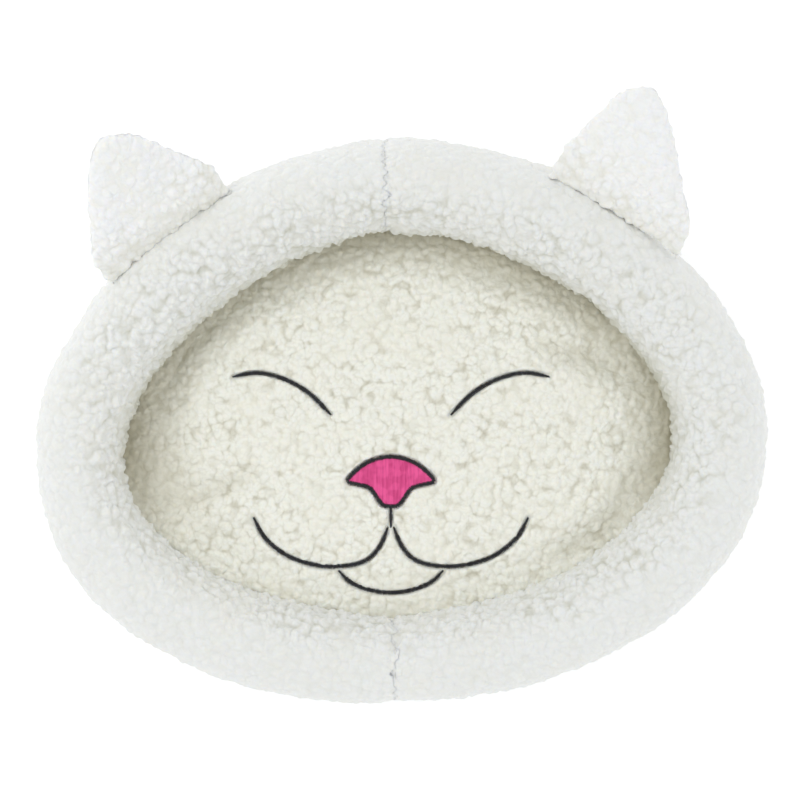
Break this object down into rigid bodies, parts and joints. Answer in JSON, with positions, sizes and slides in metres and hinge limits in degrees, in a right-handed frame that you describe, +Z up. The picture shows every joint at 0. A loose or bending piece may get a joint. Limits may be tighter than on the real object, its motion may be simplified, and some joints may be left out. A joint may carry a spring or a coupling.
{
  "type": "pet cushion bed",
  "caption": "Oval cushion bed for a small pet, shaped as a cat's head, with a stuffed fleece rim, a padded panel with a stitched face, and soft ears that fold.",
  "frame": {"origin": "on the floor under the middle of the oval, on the underside cloth", "axes": "+Z up; +Y towards the back, where the ears are; +X to the right as seen from the front, along the bed's longest side"},
  "size_m": [0.5573, 0.4628, 0.144],
  "materials": {
    "rim_fleece": "curly berber fleece, matt",
    "panel_fleece": "curly berber fleece, matt, creamier",
    "underside_cloth": "plain woven cloth",
    "backing_cloth": "thin nonwoven cloth",
    "wadding": "loose polyester wadding",
    "black_thread": "satin stitch, slight sheen",
    "pink_thread": "filled satin stitch, slight sheen"
  },
  "bodies": {
    "cushion": {"underside_panel": "underside_cloth", "base_binding": "underside_cloth", "base_pad": "wadding", "embroidery_backing": "backing_cloth", "face_panel": "panel_fleece", "panel_seam": "panel_fleece", "rim_cover_right": "rim_fleece", "rim_cover_left": "rim_fleece", "rim_filling": "wadding", "back_seam": "rim_fleece", "front_seam": "rim_fleece", "eye_stitching_right": "black_thread", "eye_stitching_left": "black_thread", "nose_patch": "pink_thread", "nose_outline": "black_thread", "philtrum_stitching": "black_thread", "mouth_stitching_right": "black_thread", "mouth_stitching_left": "black_thread", "chin_stitching": "black_thread", "ear_root_right": "rim_fleece", "ear_root_left": "rim_fleece"},
    "ear_right": {"ear_front_right": "panel_fleece", "ear_back_right": "rim_fleece", "ear_filling_right": "wadding", "ear_seam_right": "rim_fleece"},
    "ear_left": {"ear_front_left": "panel_fleece", "ear_back_left": "rim_fleece", "ear_filling_left": "wadding", "ear_seam_left": "rim_fleece"}
  },
  "joints": [
    {"name": "ear_right_fold", "type": "hinge", "parent": "cushion", "child": "ear_right", "pos_m": [0.163, 0.156, 0.084], "axis": [0.8434, -0.5373, 0], "range_deg": [-46, 80], "stiffness_Nm_per_rad": 0.15},
    {"name": "ear_left_fold", "type": "hinge", "parent": "cushion", "child": "ear_left", "pos_m": [-0.175, 0.141, 0.0825], "axis": [0.7826, 0.6225, 0], "range_deg": [-55, 68], "stiffness_Nm_per_rad": 0.15}
  ]
}
